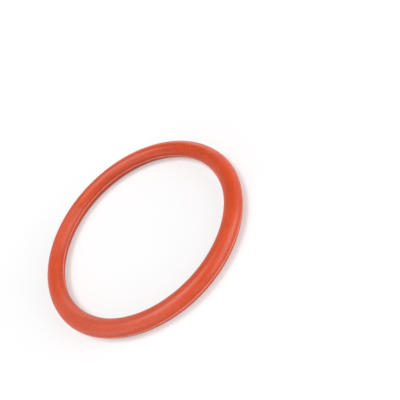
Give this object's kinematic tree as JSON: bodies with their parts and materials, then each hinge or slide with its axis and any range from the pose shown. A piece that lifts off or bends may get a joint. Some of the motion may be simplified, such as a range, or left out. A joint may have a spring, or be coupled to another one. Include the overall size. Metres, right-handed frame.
{
  "type": "silicone o-ring",
  "caption": "Moulded silicone sealing ring with a round cord section and a trimmed parting line round its hole and its outside; it is squeezed in a groove to keep fluid or dust out.",
  "frame": {"origin": "centre of the ring, on its parting plane, halfway through the cord's height", "axes": "+Z along the ring's axis, straight up as the ring lies flat; X and Y lie in the parting plane, and the ring is the same all the way round"},
  "size_m": [0.0668, 0.0668, 0.0052],
  "materials": {
    "silicone": "satin"
  },
  "bodies": {
    "root": {"o_ring": "silicone"}
  },
  "joints": []
}
